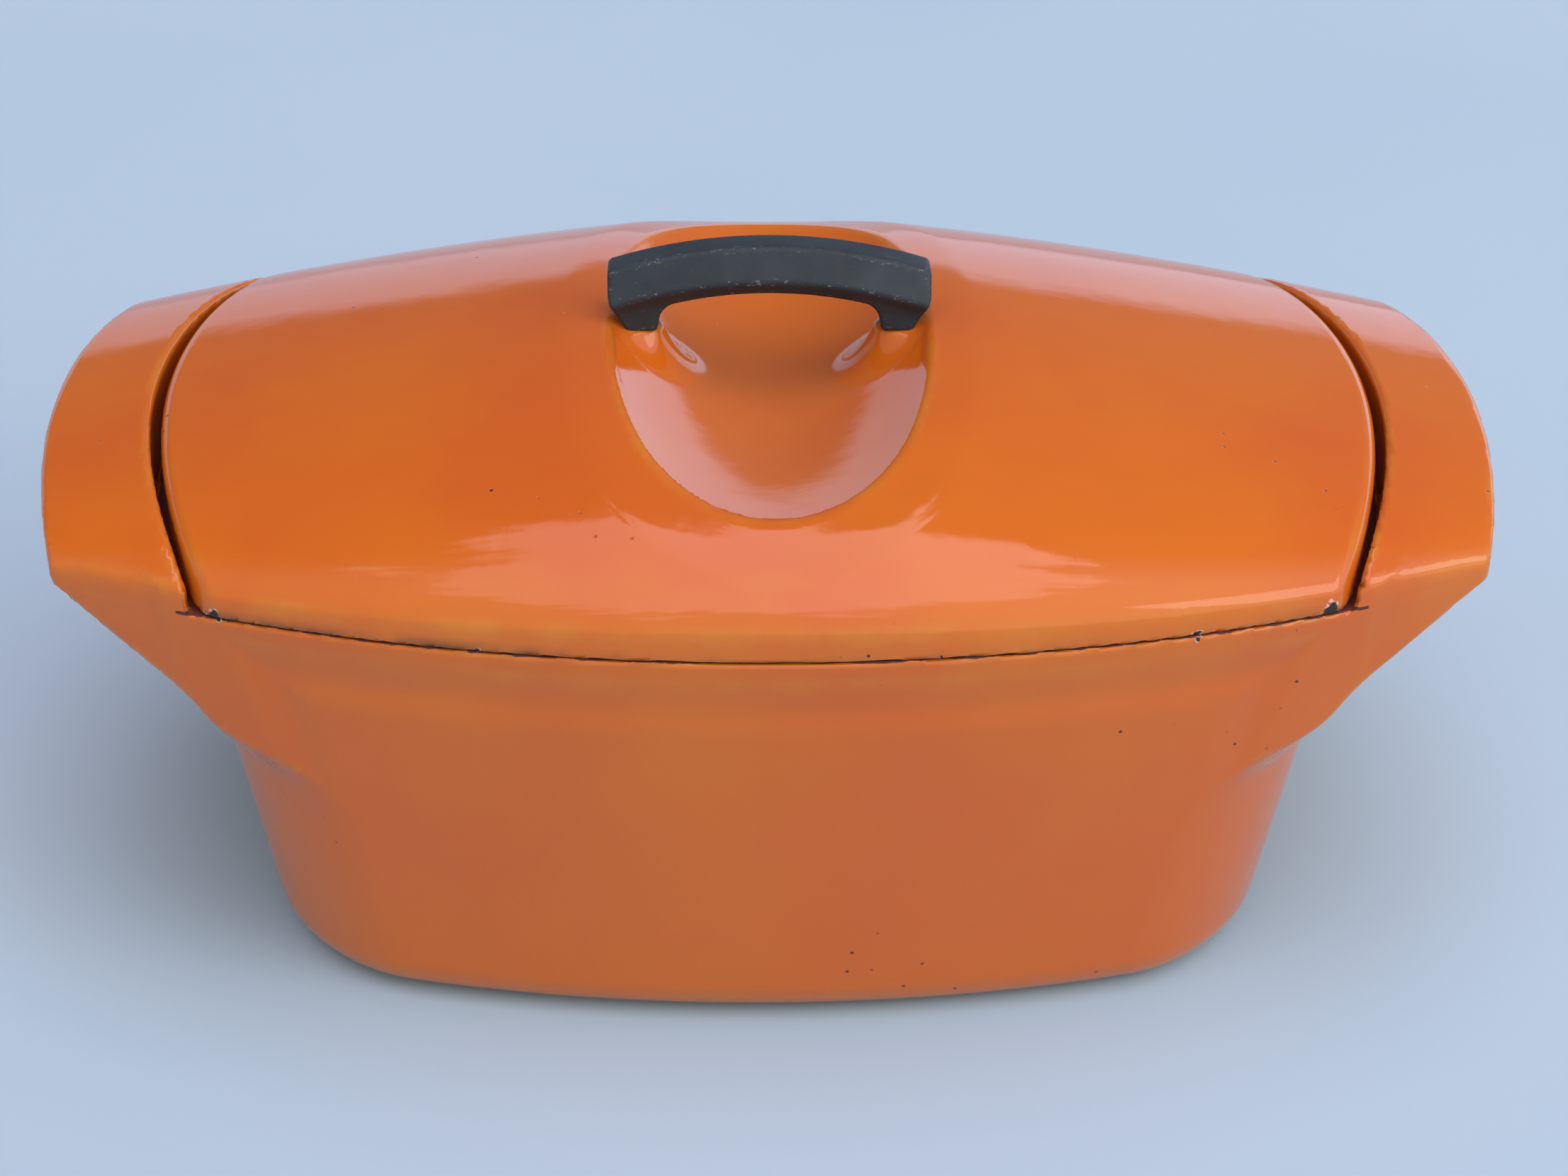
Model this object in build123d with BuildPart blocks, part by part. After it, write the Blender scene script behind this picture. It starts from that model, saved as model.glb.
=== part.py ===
"""Boat-shaped enamelled cast-iron casserole: pot with wing grips, vaulted lid and screwed-on bridge handle.

Frame: millimetres, +Z up, X along the long side, the front side towards -Y,
origin on the supporting plane under the middle of the base.
"""

from build123d import *
from math import sqrt
import os

# Overall plan and heights
joint_height = 103.0  # flat joint between pot and lid
half_length = 165.0  # wing tip on the long axis
half_width = 102.0  # joint outline at mid-length
face_overlap = 1.0  # how far a cut or a joined body runs past the face it meets
side_radius = 374.0  # bow of the long sides, seen from above
wing_end_radius = 239.0  # bow of the wing tips, seen from above

# Pot casting
wall = 5.0
side_taper = 12.5  # how far the long sides lean in towards the base
end_wall_x = 137.0  # outside of the end wall at the joint
end_wall_radius = 250.0
end_taper = 18.0  # how far the end walls lean in towards the base
corner_radius = 22.0
base_round = 11.0
floor_thickness = 6.0

# Wing grips
lid_gap = 2.4  # open gap between the lid's end and the wing, on the long axis
lid_well_radius = 192.0  # bow of the wing's inner wall
wing_drop = 0.2  # the wing lies this much below the lid's crown
underside_tip = (155.0, 103.0)  # x, z where the sloping underside starts
underside_root = (121.5, 75.5)  # x, z where it runs into the end wall
grip_skin = 7.5
grip_start_x = 147.5
wedge_margin = 8.0  # extra length of the wedge that cuts the underside
plan_margin = 3.0  # keeps the sides of an end cut clear of the long sides

# Vault shared by the lid and the wings
spring_height = 105.0  # plane of the half-ellipse axes
vault_skirt = 3.0  # upright foot of the vault below that plane
spring_overhang = 0.6  # the half-ellipses are this much wider than the plan
crown_height = 139.8  # virtual crown at mid-length
crown_slope = 0.158
crown_softness = 27.5
station_pitch = 21.0
station_count = 8  # on each side of the middle

# Lid casting
lid_end_x = 138.7
lid_end_radius = 202.0
lid_skin = 5.0
flange_depth = 5.0
flange_width = 3.5
flange_clearance = 1.6

# Saddle recess across the lid
saddle_floor = 118.0
saddle_radius = 47.0  # across the lid
saddle_bow = 504.0  # along the recess
saddle_arc_half = 36.5
saddle_half_width = 39.5
saddle_side_rise = 6.0
saddle_top = 165.0
saddle_swing = 13.0

# Bridge handle
handle_top = 153.7
handle_arc_radius = 117.7
handle_half_length = 37.0
handle_end_low = 141.0
handle_under = 142.9
handle_swing = 25.0
foot_height = 133.4
foot_inner = 25.8
foot_outer = 32.9
foot_shoulder_x = 24.6
foot_shoulder_z = 139.5
handle_section = [(4.0, 153.7), (7.5, 146.3), (5.4, 142.7), (4.9, 130.0)]  # y, z of the front half

# Fixings, one set under each foot of the handle
foot_x = 29.35
boss_top_radius = 4.8
boss_base_radius = 10.5
boss_base_height = 119.5
pad_radius = 6.5
pad_height = 116.5
insert_radius = 2.5
insert_bore = 1.75
insert_length = 8.0
shank_radius = 1.7
shank_reach = 7.0
screw_hole_radius = 2.1
washer_radius = 5.0
washer_bore = 1.9
washer_thickness = 1.0
head_radius = 3.6
head_height = 2.6
slot_width = 1.0
slot_depth = 1.2
slip = 0.05


def plan_half_width(x):
    """Half the width of the joint outline at a distance x from the middle."""
    return half_width - side_radius + sqrt(side_radius**2 - x**2)


def crown(x):
    """Height of the vault's crown at a distance x from the middle."""
    return crown_height - crown_slope * (sqrt(x**2 + crown_softness**2) - crown_softness)


def vault(drop, inset):
    """Closed vault over the whole length, lofted through half-ellipses set across the long axis."""
    with BuildPart() as shape:
        for i in range(-station_count, station_count + 1):
            x = i * station_pitch
            reach = plan_half_width(x) + spring_overhang - inset
            rise = crown(x) - drop - spring_height
            with BuildSketch(Plane(origin=(x, 0, spring_height), x_dir=(0, 1, 0), z_dir=(1, 0, 0))):
                with BuildLine():
                    EllipticalCenterArc((0, 0), reach, rise, arc_size=180)
                    Polyline((-reach, 0), (-reach, -vault_skirt), (reach, -vault_skirt), (reach, 0))
                make_face()
        loft()
    return shape.part


def side_outline(inset):
    """Sketch between the two bowed long sides, moved in by inset."""
    middle = side_radius - half_width
    with BuildSketch() as outline:
        with Locations((0, middle)):
            Circle(side_radius - inset)
        with Locations((0, -middle)):
            Circle(side_radius - inset, mode=Mode.INTERSECT)
    return outline.sketch


def end_outline(inset, end_x, radius):
    """Sketch between two bowed ends that reach end_x on the long axis, moved in by inset."""
    with BuildSketch() as outline:
        with Locations((end_x - radius, 0)):
            Circle(radius - inset)
        with Locations((radius - end_x, 0)):
            Circle(radius - inset, mode=Mode.INTERSECT)
    return outline.sketch


def plan_prism(inset, end_x, radius, low, high, corner=0.0):
    """Upright prism of the plan between the long sides and two bowed ends, from low to high."""
    with BuildPart() as prism:
        with BuildSketch(Plane.XY.offset(low)) as plan:
            add(side_outline(inset))
            add(end_outline(inset, end_x, radius), mode=Mode.INTERSECT)
            if corner:
                fillet(plan.vertices(), corner)
        extrude(amount=high - low)
    return prism.part


def wide_prism(end_x, radius, low):
    """Upright prism between two bowed ends, a little wider than the long sides, up to the crown."""
    return plan_prism(-plan_margin, end_x - plan_margin, radius - plan_margin, low, crown_height)


def wall_cone(center, top_radius, lean, low, high):
    """Slice of the cone that has top_radius at the joint and leans in by lean at the base."""
    low_radius = top_radius - lean * (joint_height - low) / joint_height
    high_radius = top_radius - lean * (joint_height - high) / joint_height
    with BuildPart() as frustum:
        with Locations((center[0], center[1], (low + high) / 2)):
            Cone(low_radius, high_radius, high - low)
    return frustum.part


def side_hull(inset, low):
    """Solid between the two leaning long sides, from low up to the joint."""
    middle = side_radius - half_width
    far_side = wall_cone((0, -middle), side_radius - inset, side_taper, low, joint_height)
    near_side = wall_cone((0, middle), side_radius - inset, side_taper, low, joint_height)
    return far_side & near_side


def end_hull(inset, low):
    """Solid between the two leaning end walls, from low up to the joint."""
    middle = end_wall_radius - end_wall_x
    right = wall_cone((-middle, 0), end_wall_radius - inset, end_taper, low, joint_height)
    left = wall_cone((middle, 0), end_wall_radius - inset, end_taper, low, joint_height)
    return right & left


def upright_corners(part):
    """The four edges where the long sides meet the end walls."""
    return part.edges().filter_by(lambda edge: edge.bounding_box().size.Z > joint_height / 2)


def swung(base, height, turn):
    """The base plane turned about a horizontal line at that height above the origin."""
    return Plane(Location((0, 0, height)) * turn * Location(base))


def saddle(growth):
    """Bowed trough that crosses the lid from front to back, grown outwards by growth."""
    radius = saddle_radius + growth
    arc_half = saddle_arc_half * radius / saddle_radius
    side = saddle_half_width + growth
    axis_height = saddle_floor + saddle_bow
    floor = -saddle_bow - growth
    arc_end = floor + radius - sqrt(radius**2 - arc_half**2)
    side_start = arc_end + saddle_side_rise
    top = saddle_top - axis_height
    with BuildPart() as trough:
        with BuildSketch(swung(Plane.XZ, axis_height, Rotation(-saddle_swing, 0, 0))):
            with BuildLine():
                ThreePointArc((-arc_half, arc_end), (0, floor), (arc_half, arc_end))
                Polyline(
                    (arc_half, arc_end),
                    (side, side_start),
                    (side, top),
                    (-side, top),
                    (-side, side_start),
                    (-arc_half, arc_end),
                )
            make_face()
        revolve(axis=Axis((0, 0, axis_height), (1, 0, 0)), revolution_arc=2 * saddle_swing)
    return trough.part


# Wings: leaning cheeks, sloping underside, vaulted top and a finger groove below
underside_slope = (underside_tip[1] - underside_root[1]) / (underside_tip[0] - underside_root[0])
wedge_inner = underside_root[0] - wedge_margin
wedge_outer = half_length + wedge_margin

with BuildPart() as groove:
    add(vault(wing_drop + grip_skin, grip_skin))
    add(plan_prism(grip_skin, half_length, wing_end_radius, 0, spring_height))
    add(plan_prism(grip_skin, half_length, wing_end_radius, 0, crown_height), mode=Mode.INTERSECT)
    add(plan_prism(0, grip_start_x, wing_end_radius, 0, crown_height), mode=Mode.SUBTRACT)

with BuildPart() as wings:
    add(side_hull(0, 0))
    add(vault(wing_drop, 0) & plan_prism(0, half_length, wing_end_radius, joint_height, crown_height))
    with BuildSketch(Plane.XZ):
        with BuildLine():
            Polyline(
                (wedge_inner, underside_root[1] + underside_slope * (wedge_inner - underside_root[0])),
                (wedge_outer, underside_tip[1] + underside_slope * (wedge_outer - underside_tip[0])),
                (wedge_outer, crown_height),
                (wedge_inner, crown_height),
                close=True,
            )
        make_face()
        mirror(about=Plane.YZ)
    extrude(amount=half_width, both=True, mode=Mode.INTERSECT)
    add(wide_prism(half_length, wing_end_radius, 0), mode=Mode.INTERSECT)
    add(wide_prism(lid_end_x + lid_gap, lid_well_radius, joint_height), mode=Mode.SUBTRACT)
    add(groove.part, mode=Mode.SUBTRACT)

# Pot: leaning walls on a flat base, joined to the wings
with BuildPart() as cavity:
    add(side_hull(wall, floor_thickness) & end_hull(wall, floor_thickness))
    fillet(upright_corners(cavity.part), corner_radius - wall)
    fillet(cavity.edges().group_by(Axis.Z)[0], base_round - wall)

with BuildPart() as pot:
    add(side_hull(0, 0) & end_hull(0, 0))
    fillet(upright_corners(pot.part), corner_radius)
    fillet(pot.edges().group_by(Axis.Z)[0], base_round)
    add(wings.part)
    add(cavity.part, mode=Mode.SUBTRACT)

# Lid: vaulted shell with an upright rim, a locating flange, the saddle recess and two bosses
flange_bottom = joint_height - flange_depth
flange_outside = wall + flange_clearance
flange_inside = flange_outside + flange_width
mouth = dict(end_x=end_wall_x, radius=end_wall_radius, corner=corner_radius - wall)

with BuildPart() as hollow:
    add(vault(lid_skin, lid_skin))
    with BuildSketch(Plane.XY.offset(spring_height)):
        Rectangle(2 * half_length, 2 * half_width)
    extrude(amount=flange_bottom - spring_height - face_overlap)
    flange_hollow = plan_prism(flange_inside, low=flange_bottom - face_overlap, high=crown_height, **mouth)
    add(flange_hollow, mode=Mode.INTERSECT)
    add(saddle(lid_skin), mode=Mode.SUBTRACT)

with BuildPart() as lid:
    add(vault(0, 0) & plan_prism(0, lid_end_x, lid_end_radius, joint_height, crown_height))
    add(saddle(0), mode=Mode.SUBTRACT)
    add(plan_prism(flange_outside, low=flange_bottom, high=joint_height + face_overlap, **mouth))
    add(hollow.part, mode=Mode.SUBTRACT)
    # One half gets its boss and screw hole, then is mirrored, so that both ends match
    split(bisect_by=Plane.YZ)
    with Locations((foot_x, 0, boss_base_height)):
        Cone(
            boss_base_radius,
            boss_top_radius,
            foot_height - boss_base_height,
            align=(Align.CENTER, Align.CENTER, Align.MIN),
        )
    with BuildSketch(Plane.XY.offset(pad_height)):
        with Locations((foot_x, 0)):
            Circle(pad_radius)
    extrude(amount=saddle_floor + lid_skin - pad_height)
    with BuildSketch(Plane.XY.offset(pad_height)):
        with Locations((foot_x, 0)):
            Circle(screw_hole_radius)
    extrude(amount=foot_height - pad_height, mode=Mode.SUBTRACT)
    mirror(about=Plane.YZ)

# Bridge handle: arched bar of six-sided section on two tapered feet
handle_center = handle_top - handle_arc_radius
handle_end_top = handle_center + sqrt(handle_arc_radius**2 - handle_half_length**2)

with BuildPart() as lid_handle:
    with BuildSketch(Plane.XZ):
        with BuildLine():
            ThreePointArc(
                (-handle_half_length, handle_end_top),
                (0, handle_top),
                (handle_half_length, handle_end_top),
            )
            Polyline(
                (handle_half_length, handle_end_top),
                (handle_half_length, handle_end_low),
                (foot_outer, foot_height),
                (foot_inner, foot_height),
                (foot_shoulder_x, foot_shoulder_z),
            )
            ThreePointArc(
                (foot_shoulder_x, foot_shoulder_z),
                (0, handle_under),
                (-foot_shoulder_x, foot_shoulder_z),
            )
            Polyline(
                (-foot_shoulder_x, foot_shoulder_z),
                (-foot_inner, foot_height),
                (-foot_outer, foot_height),
                (-handle_half_length, handle_end_low),
                (-handle_half_length, handle_end_top),
            )
        make_face()
    extrude(amount=2 * handle_section[1][0], both=True)
    with BuildSketch(swung(Plane.YZ, handle_center, Rotation(0, -handle_swing, 0))):
        with BuildLine():
            half_section = [(y, z - handle_center) for y, z in handle_section]
            Polyline(*half_section, *[(-y, z) for y, z in reversed(half_section)], close=True)
        make_face()
    revolve(
        axis=Axis((0, 0, handle_center), (0, 1, 0)),
        revolution_arc=2 * handle_swing,
        mode=Mode.INTERSECT,
    )
    with BuildSketch(Plane.XY.offset(foot_height)):
        with Locations((foot_x, 0), (-foot_x, 0)):
            Circle(insert_radius + slip)
    extrude(amount=insert_length, mode=Mode.SUBTRACT)


def ring(x, low, height, outer, inner):
    """Round ring on the upright line at x, from low up to low + height."""
    with BuildPart() as band:
        with BuildSketch(Plane.XY.offset(low)):
            with Locations((x, 0)):
                Circle(outer)
                Circle(inner, mode=Mode.SUBTRACT)
        extrude(amount=height)
    return band.part


def slotted_screw(x):
    """Screw that enters from inside the lid on the upright line at x, its slotted head below."""
    head_top = pad_height - washer_thickness
    with BuildPart() as screw:
        with BuildSketch(Plane.XY.offset(head_top)):
            with Locations((x, 0)):
                Circle(head_radius)
        extrude(amount=-head_height)
        fillet(screw.edges().group_by(Axis.Z)[0], head_height / 2)
        with BuildSketch(Plane.XY.offset(head_top - head_height)):
            with Locations((x, 0)):
                Rectangle(2 * head_radius, slot_width)
        extrude(amount=slot_depth, mode=Mode.SUBTRACT)
        with BuildSketch(Plane.XY.offset(head_top)):
            with Locations((x, 0)):
                Circle(shank_radius)
        extrude(amount=foot_height + shank_reach - head_top)
    return screw.part


nodes = {"pot": pot.part, "lid": lid.part, "lid_handle": lid_handle.part}
for side, x in (("left", -foot_x), ("right", foot_x)):
    nodes[f"handle_insert_{side}"] = ring(x, foot_height, insert_length - slip, insert_radius, insert_bore)
    nodes[f"handle_washer_{side}"] = ring(
        x, pad_height - washer_thickness, washer_thickness, washer_radius, washer_bore
    )
    nodes[f"handle_screw_{side}"] = slotted_screw(x)

os.makedirs("parts", exist_ok=True)
for name, part in nodes.items():
    part.label = name
    export_step(part, f"parts/{name}.step")
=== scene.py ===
"""Looks of the enamelled cast-iron casserole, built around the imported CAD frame.

The castings and the handle are made as smooth implicit solids: each is a formula for the signed
distance in millimetres, meshed on a grid and pulled onto the surface, so that every edge has the
soft radius that thick enamel leaves. Lengths are millimetres until a mesh is written in metres.
"""

import bpy
import numpy as np
from mathutils import Matrix, Vector


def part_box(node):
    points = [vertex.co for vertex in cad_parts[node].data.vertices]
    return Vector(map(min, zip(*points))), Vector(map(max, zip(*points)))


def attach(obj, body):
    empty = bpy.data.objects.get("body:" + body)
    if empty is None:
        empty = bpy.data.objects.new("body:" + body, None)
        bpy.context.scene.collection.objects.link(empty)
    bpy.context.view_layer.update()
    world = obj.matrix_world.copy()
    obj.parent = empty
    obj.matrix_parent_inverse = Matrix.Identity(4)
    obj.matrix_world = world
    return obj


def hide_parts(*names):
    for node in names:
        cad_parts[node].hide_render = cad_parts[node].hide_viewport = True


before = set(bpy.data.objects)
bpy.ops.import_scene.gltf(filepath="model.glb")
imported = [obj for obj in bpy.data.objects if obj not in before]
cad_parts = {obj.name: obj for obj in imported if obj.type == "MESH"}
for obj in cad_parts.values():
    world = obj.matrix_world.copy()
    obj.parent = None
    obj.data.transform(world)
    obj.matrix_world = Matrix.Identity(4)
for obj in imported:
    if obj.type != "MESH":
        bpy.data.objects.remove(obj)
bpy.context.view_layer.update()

MM = 0.001


def box_mm(node):
    """Lowest and highest corner of a CAD node, in millimetres."""
    low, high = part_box(node)
    return np.array(low) / MM, np.array(high) / MM


# Sizes read from the CAD frame
pot_low, pot_high = box_mm("pot")
lid_low, lid_high = box_mm("lid")
handle_low, handle_high = box_mm("lid_handle")
screw_low, screw_high = box_mm("handle_screw_right")
washer_low, washer_high = box_mm("handle_washer_right")
half_length = pot_high[0]
half_width = pot_high[1]
lid_end_x = lid_high[0]
flange_bottom = lid_low[2]
foot_x = (screw_low[0] + screw_high[0]) / 2
foot_height = handle_low[2]
pad_height = washer_high[2]
handle_half_length = handle_high[0]
handle_top = handle_high[2]

# Sizes shared with part.py
flange_depth = 5.0
joint_height = flange_bottom + flange_depth
side_radius, side_taper = 374.0, 12.5
end_wall_x, end_wall_radius, end_taper = 137.0, 250.0, 18.0
wall, floor_thickness, corner_radius, base_round = 5.0, 6.0, 22.0, 11.0
wing_end_radius, lid_end_radius, lid_well_radius = 239.0, 202.0, 192.0
lid_gap, wing_drop = 2.4, 0.2
underside_tip, underside_root = (155.0, 103.0), (121.5, 75.5)
grip_skin, grip_start_x = 7.5, 147.5
spring_height, spring_overhang = 105.0, 0.6
crown_height, crown_slope, crown_softness = 139.8, 0.158, 27.5
lid_skin, flange_width, flange_clearance = 5.0, 3.5, 1.6
saddle_floor, saddle_radius, saddle_bow = 118.0, 47.0, 504.0
boss_top_radius, boss_base_radius, boss_base_height = 4.8, 10.5, 119.5
pad_radius, screw_hole_radius = 6.5, 2.1
handle_arc_radius, handle_under = 117.7, 142.9
handle_end_low, foot_outer, foot_inner = 141.0, 32.9, 25.8
foot_shoulder = (24.6, 139.5)
insert_radius, insert_length = 2.55, 8.0

# Edge radii of the enamelled castings, and the soft roll-off of the vault towards the recess
CREASE = 0.8
LID_END_EDGE = 2.8
WING_EDGE = 1.6
LIP = 0.9
ROLL_DEPTH, ROLL_WIDTH = 1.5, 10.0
RIM_EDGE = 0.8

# Grid steps of the three shaped pieces
POT_STEP, LID_STEP, HANDLE_STEP = 1.6, 1.2, 0.6


# ---------------------------------------------------------------- implicit solids


def smooth(low, high, value):
    """Smooth step from 0 at low to 1 at high, where high may be the smaller one."""
    t = np.clip((value - low) / (high - low), 0.0, 1.0)
    return t * t * (3 - 2 * t)


def meet(a, b, radius):
    """Common part of two solids, its edge rounded."""
    corner = np.hypot(np.maximum(a + radius, 0), np.maximum(b + radius, 0))
    return np.minimum(np.maximum(a, b), -radius) + corner


def join(a, b, radius):
    """Union of two solids, its inside corner filled to a radius."""
    corner = np.hypot(np.maximum(radius - a, 0), np.maximum(radius - b, 0))
    return np.maximum(np.minimum(a, b), radius) - corner


def side(x, y, z, inset=0.0):
    """Distance outside the two bowed long sides."""
    below = np.maximum(joint_height - z, 0)
    reach = side_radius - inset - side_taper * below / joint_height
    return np.hypot(x, np.abs(y) + side_radius - half_width) - reach


def end(x, y, z, inset=0.0):
    """Distance outside the two bowed end walls."""
    below = np.maximum(joint_height - z, 0)
    reach = end_wall_radius - inset - end_taper * below / joint_height
    return np.hypot(np.abs(x) + end_wall_radius - end_wall_x, y) - reach


def bow(x, y, end_x, radius):
    """Distance outside two upright bowed ends that reach end_x."""
    return np.hypot(np.abs(x) + radius - end_x, y) - radius


def vault(x, y, z, drop=0.0, inset=0.0):
    """Distance outside the vault: a half-ellipse across, its crown falling towards the ends."""
    reach = half_width - side_radius + np.sqrt(side_radius**2 - np.minimum(x**2, 4e4))
    reach = reach + spring_overhang - inset
    rise = crown_height - crown_slope * (np.hypot(x, crown_softness) - crown_softness)
    rise = rise - drop - spring_height
    height = np.maximum(z - spring_height, 0)
    level = (y / reach) ** 2 + (height / rise) ** 2 - 1
    slope = 2 * np.sqrt((y / reach**2) ** 2 + (height / rise**2) ** 2)
    return level / np.maximum(slope, 1 / rise)


def saddle(x, y, z):
    """Distance inside the trough across the lid, a tube bowed upwards to front and back."""
    axis_height = saddle_floor + saddle_bow
    below = np.hypot(y, axis_height - z) - (saddle_bow - saddle_radius)
    return np.hypot(x, np.maximum(below, 0)) - saddle_radius


def mouth(x, y, inset):
    """Distance outside the plan of the pot's mouth, moved in by inset."""
    ends = end(x, y, joint_height, inset)
    return meet(side(x, y, joint_height, inset), ends, corner_radius - wall)


def cavity(x, y, z):
    """Distance outside the hollow of the pot."""
    walls = meet(side(x, y, z, wall), end(x, y, z, wall), corner_radius - wall)
    return meet(walls, floor_thickness - z, base_round - wall)


def lid_well(x, y, z):
    """Distance outside the seat of the lid between the wings."""
    ends = bow(x, y, lid_end_x + lid_gap, lid_well_radius)
    return meet(ends, joint_height - z, 1.0)


def pot_shape(x, y, z):
    """Signed distance of the pot casting."""
    slope = (underside_tip[1] - underside_root[1]) / (underside_tip[0] - underside_root[0])
    rise = z - underside_tip[1] - slope * (np.abs(x) - underside_tip[0])
    underside = -rise / np.hypot(1, slope)
    tip = bow(x, y, half_length, wing_end_radius)
    thick = smooth(62.0, 45.0, np.abs(y))
    wing = meet(vault(x, y, z, wing_drop), tip, 0.6 + (WING_EDGE - 0.6) * thick)
    wing = meet(wing, underside, 0.6 + 0.9 * thick)
    ends = np.maximum(end(x, y, z), z - joint_height)
    body = smooth(-2, 14, wing - ends)
    crease = 0.9 + 0.9 * smooth(158.0, 148.0, np.abs(x))
    corner = crease + (corner_radius - crease) * body
    shape = meet(side(x, y, z), join(ends, wing, 9.0), corner)
    # Rounded before the cavity is cut, because the floor is thinner than this radius
    shape = meet(shape, -z, base_round)
    edge = RIM_EDGE + (WING_EDGE - RIM_EDGE) * smooth(joint_height, joint_height + 5, z)
    shape = meet(shape, -lid_well(x, y, z), edge)
    shape = meet(shape, -cavity(x, y, z), RIM_EDGE)
    groove = np.maximum(side(x, y, joint_height, grip_skin), tip + grip_skin)
    groove = meet(groove, vault(x, y, z, wing_drop + grip_skin, grip_skin), 2.0)
    groove = meet(groove, -bow(x, y, grip_start_x, wing_end_radius), 3.0)
    return meet(shape, -groove, 1.8)


def lid_hollow(x, y, z):
    """Distance outside the hollow under the lid."""
    inside = flange_width + wall + flange_clearance
    hollow = meet(vault(x, y, z, lid_skin, lid_skin), mouth(x, y, inside), 2.0)
    return meet(hollow, lid_skin - saddle(x, y, z), 4.0)


def lid_shape(x, y, z):
    """Signed distance of the lid casting."""
    trough = saddle(x, y, z)
    depth = ROLL_DEPTH + 1.2 * smooth(55.0, 85.0, np.abs(y))
    rolled = vault(x, y, z) + depth * (1 - smooth(-3, ROLL_WIDTH, trough))
    shape = meet(rolled, side(x, y, joint_height), CREASE)
    shape = meet(shape, bow(x, y, lid_end_x, lid_end_radius), LID_END_EDGE)
    shape = meet(shape, joint_height - z, RIM_EDGE)
    shape = meet(shape, -trough, LIP)
    from_foot = np.hypot(np.abs(x) - foot_x, y)
    taper = (boss_base_radius - boss_top_radius) / (foot_height - boss_base_height)
    boss = (from_foot - boss_top_radius - taper * (foot_height - z)) / np.hypot(1, taper)
    boss = meet(boss, z - foot_height, 0.8)
    boss = np.maximum(boss, saddle_floor - z)
    shape = join(shape, boss, 5.5)
    flange = meet(mouth(x, y, wall + flange_clearance), z - joint_height - 2, 0.5)
    shape = join(shape, flange, 0.6)
    shape = meet(shape, -lid_hollow(x, y, z), 1.2)
    shape = meet(shape, flange_bottom - z, 1.0)
    pad = np.maximum(from_foot - pad_radius, np.abs(z - pad_height - 4.0) - 4.0)
    shape = join(shape, pad, 1.0)
    return np.maximum(shape, screw_hole_radius - from_foot)


def facet(across, height, start, stop):
    """Distance outside the straight line from start to stop of a section drawn downwards."""
    run, fall = stop[0] - start[0], stop[1] - start[1]
    return ((height - start[1]) * run - (across - start[0]) * fall) / np.hypot(run, fall)


def handle_shape(x, y, z):
    """Signed distance of the bridge handle."""
    center = handle_top - handle_arc_radius
    height = np.hypot(x, z - center) + center
    across = np.abs(y)
    top = meet(facet(across, height, (4.0, handle_top), (7.5, 146.3)), height - handle_top, 0.9)
    under = facet(across, height, (7.5, 146.3), (5.4, 142.7))
    flank = facet(across, height, (5.4, 142.7), (4.9, 130.0))
    shape = meet(top, join(under, flank, 0.8), 0.7)
    along = np.abs(x)
    shape = meet(shape, along - handle_half_length, 1.1)
    lower_end = facet(along, z, (handle_half_length, handle_end_low), (foot_outer, foot_height))
    shape = meet(shape, lower_end, 0.8)
    shoulder_x, shoulder_z = foot_shoulder
    sag = handle_under - shoulder_z
    under_radius = (shoulder_x**2 + sag**2) / (2 * sag)
    arch = np.hypot(x, z - handle_under + under_radius) - under_radius
    opening = meet(arch, facet(along, z, foot_shoulder, (foot_inner, foot_height)), 2.5)
    shape = meet(shape, -opening, 1.0)
    shape = meet(shape, foot_height - z, 0.5)
    bore = np.maximum(np.hypot(along - foot_x, y) - insert_radius, z - foot_height - insert_length)
    return np.maximum(shape, -bore)


# ---------------------------------------------------------------- meshing


def surface_net(shape, low, high, step):
    """Vertices and quads of the zero level of a distance formula inside a box."""
    axes = [np.arange(a - 2.13 * step, b + 3.0 * step, step) for a, b in zip(low, high)]
    field = shape(axes[0][:, None, None], axes[1][None, :, None], axes[2][None, None, :])
    inside = field < 0
    cells = [n - 1 for n in inside.shape]
    count = np.zeros(cells, np.int8)
    for corner in np.ndindex(2, 2, 2):
        count += inside[tuple(slice(c, c + n) for c, n in zip(corner, cells))]
    mixed = (count > 0) & (count < 8)
    index = np.full(cells, -1)
    index[mixed] = np.arange(mixed.sum())
    total, hits, quads = np.zeros((mixed.sum(), 3)), np.zeros(mixed.sum()), []
    for axis in range(3):
        first = np.moveaxis(field, axis, 0)[:-1]
        second = np.moveaxis(field, axis, 0)[1:]
        at = np.nonzero((first < 0) != (second < 0))
        a, b = first[at], second[at]
        place = np.empty((len(a), 3))
        others = [i for i in range(3) if i != axis]
        place[:, axis] = at[0] + a / (a - b)
        place[:, others[0]], place[:, others[1]] = at[1], at[2]
        ring = []
        for back in ((0, 0), (1, 0), (1, 1), (0, 1)):
            cell = [None] * 3
            cell[axis] = at[0]
            cell[others[0]], cell[others[1]] = at[1] - back[0], at[2] - back[1]
            ring.append(index[tuple(cell)])
            np.add.at(total, ring[-1], place)
            np.add.at(hits, ring[-1], 1)
        quad = np.stack(ring, 1)
        flip = (a < 0) == (axis == 1)
        quad[flip] = quad[flip][:, ::-1]
        quads.append(quad)
    points = total / hits[:, None] * step + [a[0] for a in axes]
    return points, np.concatenate(quads)


def gradient(shape, points, reach):
    """Slope of a distance formula at each point."""
    slope = np.empty_like(points)
    for axis in range(3):
        offset = np.zeros(3)
        offset[axis] = reach
        ahead, behind = shape(*(points + offset).T), shape(*(points - offset).T)
        slope[:, axis] = (ahead - behind) / (2 * reach)
    return slope


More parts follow.
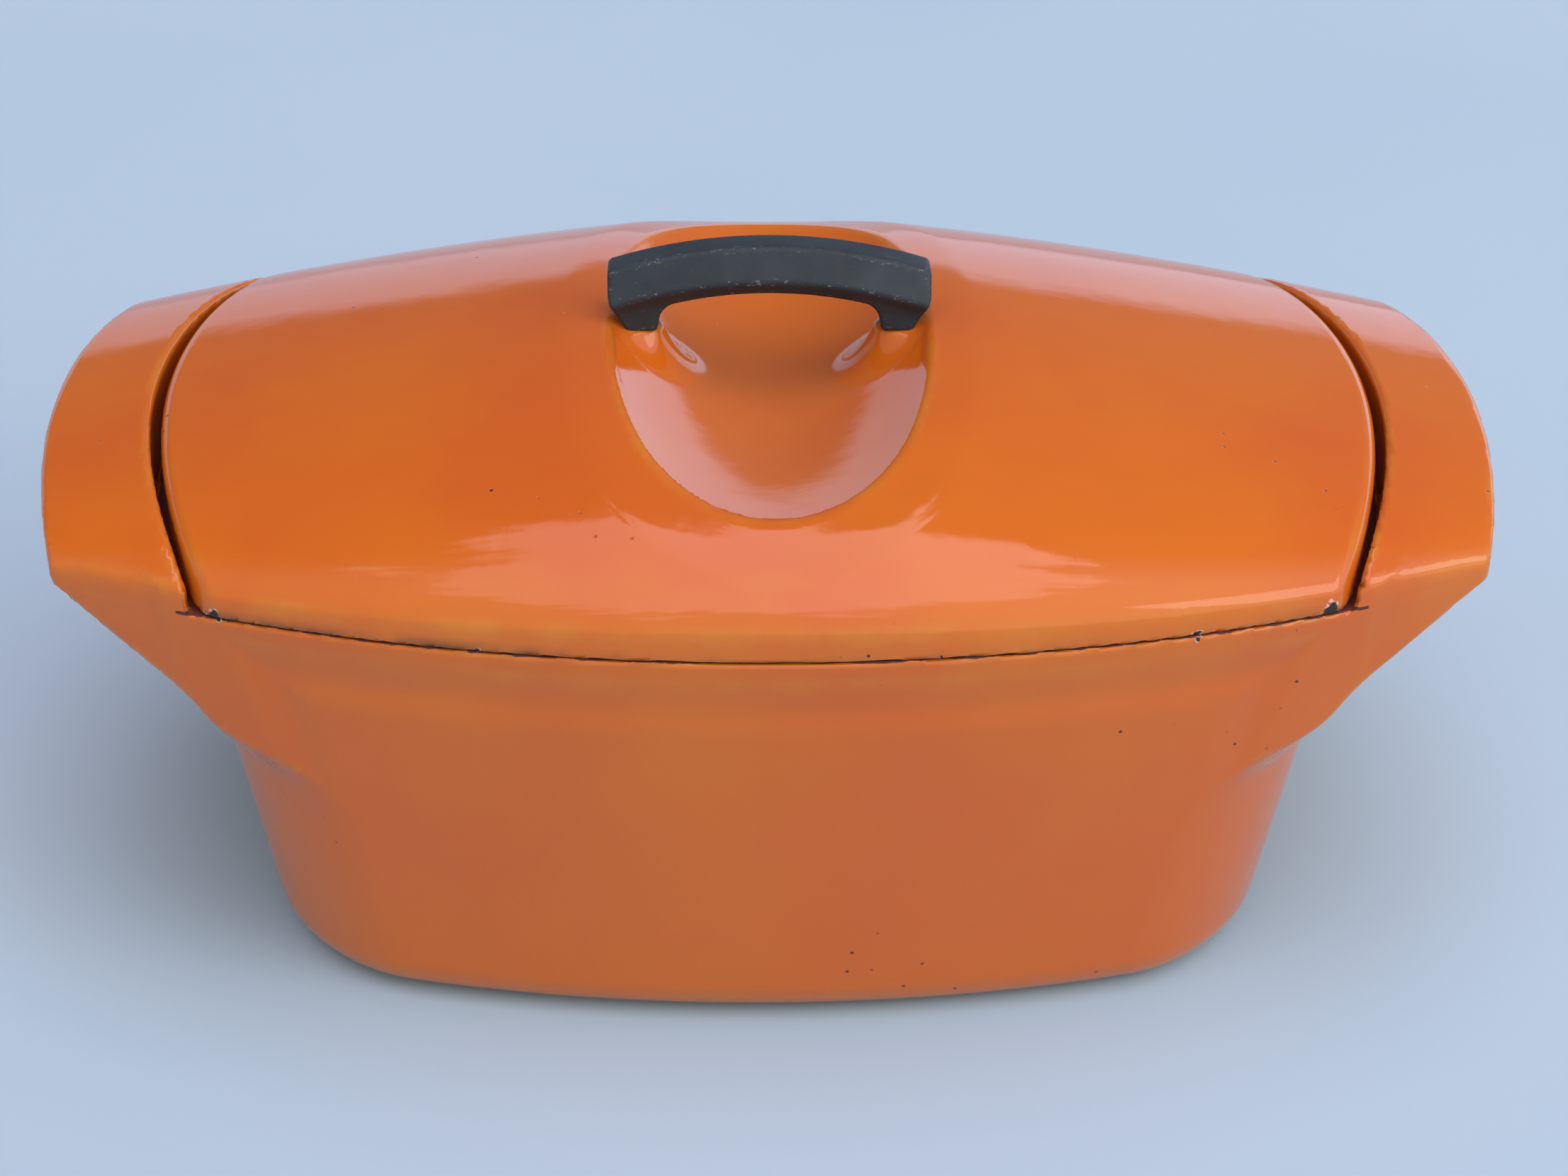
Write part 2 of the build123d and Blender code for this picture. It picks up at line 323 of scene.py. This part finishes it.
def settle(shape, points, quads, step, rounds=3):
    """Evens out the vertices and pulls them onto the surface."""
    pairs = np.concatenate([quads[:, [i, (i + 1) % 4]] for i in range(4)])
    for turn in range(rounds + 1):
        if turn:
            total, hits = np.zeros_like(points), np.zeros(len(points))
            np.add.at(total, pairs[:, 0], points[pairs[:, 1]])
            np.add.at(hits, pairs[:, 0], 1)
            points = points + 0.5 * (total / hits[:, None] - points)
        for _ in range(2):
            slope = gradient(shape, points, 0.05)
            distance = np.clip(shape(*points.T), -step, step)
            length = np.maximum((slope**2).sum(1), 0.25)
            points = points - (distance / length)[:, None] * slope
    return points


def shaped_piece(name, shape, low, high, step, marks):
    """A mesh object of a distance formula, with one float attribute per mark."""
    points, quads = surface_net(shape, low, high, step)
    points = settle(shape, points, quads, step)
    mesh = bpy.data.meshes.new(name)
    mesh.from_pydata((points * MM).tolist(), [], quads.tolist())
    mesh.update()
    slope = gradient(shape, points, 0.25 * step)
    normals = slope / np.linalg.norm(slope, axis=1)[:, None]
    mesh.shade_smooth()
    mesh.normals_split_custom_set_from_vertices(normals.tolist())
    bend = -6 * shape(*points.T)
    for offset in np.concatenate([np.eye(3), -np.eye(3)]):
        bend += shape(*(points + offset).T)
    values = {"edge": np.clip(bend * 2.2, 0, 1)}
    for mark, formula in marks.items():
        values[mark] = np.clip(formula(*points.T), 0, 1)
    for mark, value in values.items():
        mesh.attributes.new(mark, "FLOAT", "POINT").data.foreach_set("value", value.astype(np.float32))
    piece = bpy.data.objects.new(name, mesh)
    bpy.context.scene.collection.objects.link(piece)
    return piece


def pot_liner(x, y, z):
    """1 on the walls of the pot's hollow, where the enamel is cream."""
    return 1 - smooth(0.3, 1.5, cavity(x, y, z))


def pot_rim(x, y, z):
    """1 in the seat of the lid, where the ground coat shows."""
    return 1 - smooth(1.0, 4.0, lid_well(x, y, z))


def lid_liner(x, y, z):
    """1 on the inside of the lid, where the enamel is cream."""
    return 1 - smooth(0.3, 1.5, np.minimum(lid_hollow(x, y, z), z - flange_bottom + 0.5))


# ---------------------------------------------------------------- materials


class Nodes:
    """Short hand for building the nodes of one material, or of the world."""

    def __init__(self, owner, coordinate="Object"):
        self.owner = owner
        owner.use_nodes = True
        self.tree = owner.node_tree
        self.place = self.add("ShaderNodeTexCoord").outputs[coordinate]

    def add(self, kind, inputs=(), **settings):
        node = self.tree.nodes.new(kind)
        for key, value in settings.items():
            setattr(node, key, value)
        for key, value in dict(inputs).items():
            self.put(node.inputs[key], value)
        return node

    def put(self, socket, value):
        if isinstance(value, bpy.types.NodeSocket):
            self.tree.links.new(value, socket)
        else:
            socket.default_value = value

    def math(self, operation, a, b=0.0):
        return self.add("ShaderNodeMath", {0: a, 1: b}, operation=operation).outputs[0]

    def vector(self, operation, inputs, output=0):
        return self.add("ShaderNodeVectorMath", inputs, operation=operation).outputs[output]

    def axes(self, vector):
        return self.add("ShaderNodeSeparateXYZ", {0: vector}).outputs

    def noise(self, scale, detail=3.0, roughness=0.5, stretch=None):
        place = self.place
        if stretch:
            place = self.add("ShaderNodeMapping", {"Vector": place, "Scale": stretch}).outputs[0]
        inputs = {"Vector": place, "Scale": scale, "Detail": detail, "Roughness": roughness}
        return self.add("ShaderNodeTexNoise", inputs).outputs["Fac"]

    def ramp(self, value, low, high, to_low=0.0, to_high=1.0):
        inputs = {"Value": value, "From Min": low, "From Max": high, "To Min": to_low, "To Max": to_high}
        node = self.add("ShaderNodeMapRange", inputs, interpolation_type="SMOOTHSTEP")
        return node.outputs[0]

    def mix(self, factor, a, b):
        node = self.add("ShaderNodeMix", data_type="RGBA")
        self.put(node.inputs[0], factor)
        for socket, value in ((node.inputs[6], a), (node.inputs[7], b)):
            self.put(socket, value if isinstance(value, bpy.types.NodeSocket) else (*value, 1.0))
        return node.outputs[2]

    def attribute(self, name):
        return self.add("ShaderNodeAttribute", attribute_name=name).outputs["Fac"]

    def bump(self, height, distance, strength=1.0, under=None):
        inputs = {"Height": height, "Distance": distance, "Strength": strength}
        if under:
            inputs["Normal"] = under
        return self.add("ShaderNodeBump", inputs).outputs[0]

    def finish(self, constants=(), **inputs):
        shader = self.tree.nodes["Principled BSDF"]
        for key, value in {**dict(constants), **inputs}.items():
            self.put(shader.inputs[key.replace("_", " ")], value)
        return self.owner


ORANGE = (0.56, 0.140, 0.010)
RED_ORANGE = (0.53, 0.110, 0.012)
OCHRE = (0.55, 0.200, 0.018)
BROWN = (0.080, 0.014, 0.008)
LOW_DARK_BROWN = (0.130, 0.052, 0.012)
IRON = (0.012, 0.011, 0.011)
CREAM = (0.72, 0.66, 0.53)
CREAM_SHADE = (0.62, 0.55, 0.41)
CHIP_HALO = (0.75, 0.62, 0.55)
# Near-blacks of the phenolic; their blue tint is painted sky sheen.
BLUE_SHEEN_BLACK, LIGHTER_BLUE_SHEEN_BLACK = (0.011, 0.024, 0.034), (0.018, 0.035, 0.048)
# Painted shade for the handle's downward faces: a darker, browner black.
PAINTED_SHADE_UNDERSIDE = (0.010, 0.007, 0.006)
SCUFF = (0.22, 0.24, 0.27)
JOINT = joint_height * MM  # height of the joint, in metres as the materials see it


def pot_ground(n, level):
    """Thin line of bare ground coat on the pot, just below and above the joint."""
    below = n.ramp(level, JOINT - 0.00038, JOINT - 0.00024)
    above = n.ramp(level, JOINT + 0.0006, JOINT + 0.0004)
    return n.math("MULTIPLY", n.math("MULTIPLY", below, above), n.ramp(n.attribute("rim"), 0.3, 0.4))


def lid_low_dark_blotches(n, level):
    """Uneven dark brown blotches low on the lid near the joint, mostly on its left half."""
    low = n.ramp(level, JOINT + 0.0034, JOINT + 0.0005)
    blotches = n.math("MULTIPLY", low, n.ramp(n.noise(55.0, 4.0, 0.6), 0.38, 0.7))
    return n.math("MULTIPLY", blotches, n.ramp(n.axes(n.place)[0], 0.02, -0.07, 0.35, 1.0))


def jittered_place(n):
    """The place with a fine random shift, which makes the outlines of chips ragged."""
    inputs = {"Vector": n.place, "Scale": 500.0, "Detail": 3.0}
    jitter = n.add("ShaderNodeTexNoise", inputs).outputs["Color"]
    jitter = n.vector("SUBTRACT", {0: jitter, 1: (0.5, 0.5, 0.5)})
    jitter = n.vector("SCALE", {0: jitter, "Scale": 0.0032})
    return n.vector("ADD", {0: n.place, 1: jitter})


def enamel(name, chips, on_pot):
    """Glossy orange enamel, thin on the edges, chipped at the joint; cream liner, dark ground coat."""
    n = Nodes(bpy.data.materials.new(name))
    height = n.axes(n.place)[2]
    color = n.mix(n.ramp(n.noise(14.0), 0.35, 0.7), ORANGE, RED_ORANGE)
    if on_pot:
        color = n.mix(n.math("MULTIPLY", n.ramp(height, 0.098, 0.02), 0.5), color, RED_ORANGE)
    thin = n.math("MULTIPLY", n.attribute("edge"), n.ramp(n.noise(60.0, 4.0), 0.3, 0.75))
    color = n.mix(n.math("MULTIPLY", thin, 0.75), color, OCHRE)
    speck = n.add("ShaderNodeTexVoronoi", {"Vector": n.place, "Scale": 190.0}).outputs["Distance"]
    rare = n.ramp(n.noise(30.0, 2.0), 0.62, 0.70)
    specks = n.math("MULTIPLY", n.ramp(speck, 0.10, 0.05), rare)
    color = n.mix(specks, color, BROWN)
    rough_line = n.math("MULTIPLY", n.math("SUBTRACT", n.noise(420.0), 0.5), 0.35)
    lined = n.ramp(n.math("ADD", n.attribute("liner"), rough_line), 0.35, 0.6)
    color = n.mix(lined, color, n.mix(n.ramp(n.noise(9.0), 0.4, 0.8), CREAM, CREAM_SHADE))
    uneven = n.ramp(n.noise(160.0, 4.0, 0.6), 0.3, 0.7, -0.00012, 0.00016)
    level = n.math("ADD", height, uneven)
    if on_pot:
        ground = pot_ground(n, level)
    else:
        ground = n.ramp(level, JOINT + 0.00036, JOINT + 0.00022)
        # Darker brown in blotches low on the lid near the joint, strongest on its left half.
        color = n.mix(lid_low_dark_blotches(n, level), color, LOW_DARK_BROWN)
    color = n.mix(n.math("MULTIPLY", ground, n.math("SUBTRACT", 1.0, lined)), color, BROWN)
    place = jittered_place(n)
    chipped, halo = 0.0, 0.0
    for x, y, z, radius in chips:
        spot = tuple(v * MM for v in (x, y, z))
        away = n.vector("DISTANCE", {0: place, 1: spot}, "Value")
        size = radius * MM
        chipped = n.math("MAXIMUM", n.ramp(away, size, 0.8 * size), chipped)
        halo = n.math("MAXIMUM", n.ramp(away, 1.5 * size, 1.15 * size), halo)
    pale = n.math("MULTIPLY", halo, n.ramp(n.noise(900.0, 2.0), 0.5, 0.62))
    color = n.mix(n.math("MULTIPLY", pale, 0.75), color, CHIP_HALO)
    color = n.mix(chipped, color, IRON)
    matt = n.math("MULTIPLY", n.math("MAXIMUM", chipped, ground), 0.6)
    rough = n.math("ADD", n.ramp(n.noise(45.0, 5.0, 0.6), 0.3, 0.8, 0.05, 0.09), matt)
    wavy = n.bump(n.noise(38.0, 2.0), 0.0004, 0.5)
    peel = n.bump(n.noise(330.0, 2.0), 0.00003, 0.5, wavy)
    pitted = n.bump(n.math("MULTIPLY", n.math("ADD", specks, chipped), -1.0), 0.0003, 0.8, peel)
    return n.finish({"IOR": 1.5}, Base_Color=color, Roughness=rough, Normal=pitted)


def phenolic():
    """Black moulded phenolic: satin skin, whitish scuffs along the edges, a blue tint painted in as sky
    sheen, and painted shade, darker and browner, on the faces that look down.
    """
    n = Nodes(bpy.data.materials.new("black_phenolic"))
    edge = n.attribute("edge")
    facing = n.add("ShaderNodeNewGeometry").outputs["Normal"]
    # Painted shade: faces that look down are mixed towards a darker, browner black.
    downward_shade = n.ramp(n.axes(facing)[2], -0.2, -0.8)
    # Random mottling between two near-blacks, both with a blue tint painted in as sky sheen.
    color = n.mix(n.ramp(n.noise(70.0, 4.0), 0.35, 0.7), BLUE_SHEEN_BLACK, LIGHTER_BLUE_SHEEN_BLACK)
    color = n.mix(n.math("MULTIPLY", downward_shade, 0.7), color, PAINTED_SHADE_UNDERSIDE)
    scratch = n.noise(1300.0, 4.0, 0.65, stretch=(0.5, 1.0, 1.0))
    worn = n.math("MULTIPLY", edge, n.ramp(scratch, 0.58, 0.68))
    speckle = n.ramp(n.noise(1500.0, 2.0), 0.70, 0.76)
    dusty = n.math("MULTIPLY", speckle, n.ramp(n.noise(90.0, 2.0), 0.45, 0.65))
    scuffs = n.math("MAXIMUM", n.math("MULTIPLY", worn, 0.5), n.math("MULTIPLY", dusty, 0.5))
    color = n.mix(scuffs, color, SCUFF)
    rough = n.ramp(n.noise(120.0, 4.0), 0.3, 0.75, 0.50, 0.66)
    grain = n.bump(n.noise(1600.0, 3.0, 0.6), 0.00004, 0.6)
    dented = n.bump(n.math("MULTIPLY", scuffs, -1.0), 0.0001, 0.5, grain)
    return n.finish({"IOR": 1.45}, Base_Color=color, Roughness=rough, Normal=dented)


def metal(name, clean, dull, tight):
    """Turned metal with fine tool rings and a dulled, spotty skin."""
    n = Nodes(bpy.data.materials.new(name))
    tarnish = n.ramp(n.noise(350.0, 4.0), 0.4, 0.7)
    rings = n.noise(2600.0, 2.0, 0.5, stretch=(0.15, 0.15, 1.0))
    color = n.mix(tarnish, clean, dull)
    rough = n.math("ADD", n.ramp(rings, 0.3, 0.7, tight, tight + 0.14), n.math("MULTIPLY", tarnish, 0.12))
    normal = n.bump(rings, 0.00003, 0.5)
    return n.finish({"Metallic": 1.0}, Base_Color=color, Roughness=rough, Normal=normal)


def paper_floor():
    """Pale matt backing paper with a faint fibre."""
    n = Nodes(bpy.data.materials.new("pale_paper"))
    color = n.mix(n.ramp(n.noise(2.2), 0.35, 0.7), FLOOR_COLOR, FLOOR_SHADE)
    normal = n.bump(n.noise(900.0, 3.0), 0.0001, 0.2)
    return n.finish(Base_Color=color, Roughness=0.75, Normal=normal)


# ---------------------------------------------------------------- the pieces

# Chips in the enamel: x, y, z and radius
LID_CHIPS = [
    (-118.5, -82.3, 103.9, 1.5),
    (118.0, -82.5, 104.0, 1.9),
    (-62.0, -96.7, 103.3, 0.7),
    (-25.0, -101.1, 103.2, 0.6),
    (88.0, -91.5, 103.3, 0.9),
    (34.0, -100.4, 103.2, 0.5),
]
POT_CHIPS = [
    (-62.5, -96.8, 102.8, 0.6),
    (-117.0, -82.6, 102.9, 0.8),
    (88.5, -91.4, 102.8, 0.8),
    (12.0, -101.9, 102.8, 0.5),
]

pot_marks = {"liner": pot_liner, "rim": pot_rim}
pot = shaped_piece("pot_casting", pot_shape, pot_low, pot_high, POT_STEP, pot_marks)
lid = shaped_piece("lid_casting", lid_shape, lid_low, lid_high, LID_STEP, {"liner": lid_liner})
handle = shaped_piece("bridge_handle", handle_shape, handle_low, handle_high, HANDLE_STEP, {})

for piece, material, node, body, slot in (
    (pot, enamel("orange_enamel_pot", POT_CHIPS, True), "pot", "pot", "enamel"),
    (lid, enamel("orange_enamel_lid", LID_CHIPS, False), "lid", "lid", "enamel"),
    (handle, phenolic(), "lid_handle", "lid", "phenolic"),
):
    piece.data.materials.append(material)
    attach(piece, body)
    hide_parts(node)

brass = metal("turned_brass", (0.70, 0.50, 0.20), (0.36, 0.23, 0.09), 0.24)
steel = metal("plated_steel", (0.58, 0.58, 0.60), (0.30, 0.29, 0.28), 0.22)
for kind, material in (("insert", brass), ("screw", steel), ("washer", steel)):
    for hand in ("left", "right"):
        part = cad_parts[f"handle_{kind}_{hand}"]
        part.data.materials.clear()
        part.data.materials.append(material)
        rounding = part.modifiers.new("edges", "BEVEL")
        rounding.width = 0.12 * MM
        rounding.segments = 2
        rounding.limit_method = "ANGLE"

# ---------------------------------------------------------------- floor, light and camera

FLOOR_COLOR = (0.405, 0.600, 0.74)
FLOOR_SHADE = (0.385, 0.580, 0.73)
FLOOR_HALF = 4.0

floor_mesh = bpy.data.meshes.new("floor")
floor_mesh.from_pydata(
    [(sx * FLOOR_HALF, sy * FLOOR_HALF, 0.0) for sx, sy in ((-1, -1), (1, -1), (1, 1), (-1, 1))],
    [],
    [(0, 1, 2, 3)],
)
floor = bpy.data.objects.new("floor", floor_mesh)
floor_mesh.materials.append(paper_floor())
bpy.context.scene.collection.objects.link(floor)

world = bpy.data.worlds.new("soft_sky")
bpy.context.scene.world = world

SKY_BACK, SKY_FRONT, SKY_DIM = (0.84, 1.0, 1.28), (1.34, 1.24, 1.14), (0.26, 0.24, 0.25)
PATCH_COLOR = (3.2, 2.4, 2.6)
PATCH_MIDDLE = -0.15  # of the bright patch, towards the back
PATCH_HALF = (0.38, 0.60)  # across and along


def sky():
    """Pale blue sky, brighter to the right, dim above the back horizon, with a broken patch overhead."""
    n = Nodes(world, "Generated")
    across, along, up = n.axes(n.place)
    dim = n.math("MULTIPLY", n.ramp(up, 0.50, 0.74), n.ramp(along, -0.20, 0.25))
    color = n.mix(n.ramp(along, 0.1, -0.5), SKY_BACK, SKY_FRONT)
    band = n.math("MULTIPLY", n.ramp(up, 0.20, 0.27), n.ramp(along, 0.0, 0.30))
    color = n.mix(n.math("MAXIMUM", dim, band), color, SKY_DIM)
    wide = n.math("DIVIDE", across, PATCH_HALF[0])
    deep = n.math("DIVIDE", n.math("SUBTRACT", along, PATCH_MIDDLE), PATCH_HALF[1])
    reach = n.math("SQRT", n.math("ADD", n.math("POWER", wide, 2.0), n.math("POWER", deep, 2.0)))
    ragged = n.math("SUBTRACT", n.noise(7.0, 6.0, 0.65), 0.5)
    patch = n.ramp(n.math("ADD", reach, ragged), 1.0, 0.9)
    patch = n.math("MULTIPLY", patch, n.ramp(up, 0.30, 0.60))
    color = n.mix(patch, color, PATCH_COLOR)
    bright = n.ramp(across, -0.9, 0.9, 0.52, 1.25)
    backdrop = n.tree.nodes["Background"]
    n.put(backdrop.inputs["Color"], color)
    n.put(backdrop.inputs["Strength"], bright)


sky()


def soft_light(name, place, target, width, height, watts, tint):
    """A rectangular softbox at a place, turned to a target."""
    data = bpy.data.lights.new(name, "AREA")
    data.shape = "RECTANGLE"
    data.size, data.size_y = width, height
    data.energy = watts
    data.color = tint
    light = bpy.data.objects.new(name, data)
    light.location = place
    light.rotation_euler = (Vector(target) - Vector(place)).to_track_quat("-Z", "Y").to_euler()
    bpy.context.scene.collection.objects.link(light)


MIDDLE = (0.0, 0.0, 0.09)
soft_light("side_window", (1.6, -1.0, 1.2), MIDDLE, 1.2, 1.0, 9.0, (1.0, 0.95, 0.88))

bpy.context.scene.view_settings.view_transform = "Standard"

# Camera fitted to the outline of the object
IMAGE_WIDTH = 2212
FOCAL_PIXELS = 4000.0
SENSOR = 36.0
TURN, RISE, ROLL = np.radians([-1.766, 30.0, 0.69])
RANGE = 0.691567
AIM = Vector((0.004209, 0.0, 0.062279))

camera_data = bpy.data.cameras.new("camera")
camera_data.sensor_fit = "HORIZONTAL"
camera_data.sensor_width = SENSOR
camera_data.lens = FOCAL_PIXELS / IMAGE_WIDTH * SENSOR
camera_data.clip_start, camera_data.clip_end = 0.01, 50.0
camera = bpy.data.objects.new("camera", camera_data)
back = Vector((np.sin(TURN) * np.cos(RISE), -np.cos(TURN) * np.cos(RISE), np.sin(RISE)))
right = (-back).cross(Vector((0, 0, 1))).normalized()
upright = right.cross(-back)
rolled_right = right * np.cos(ROLL) + upright * np.sin(ROLL)
rolled_up = upright * np.cos(ROLL) - right * np.sin(ROLL)
turned = Matrix((rolled_right, rolled_up, back)).transposed().to_4x4()
camera.matrix_world = Matrix.Translation(AIM + back * RANGE) @ turned
bpy.context.scene.collection.objects.link(camera)
bpy.context.scene.camera = camera
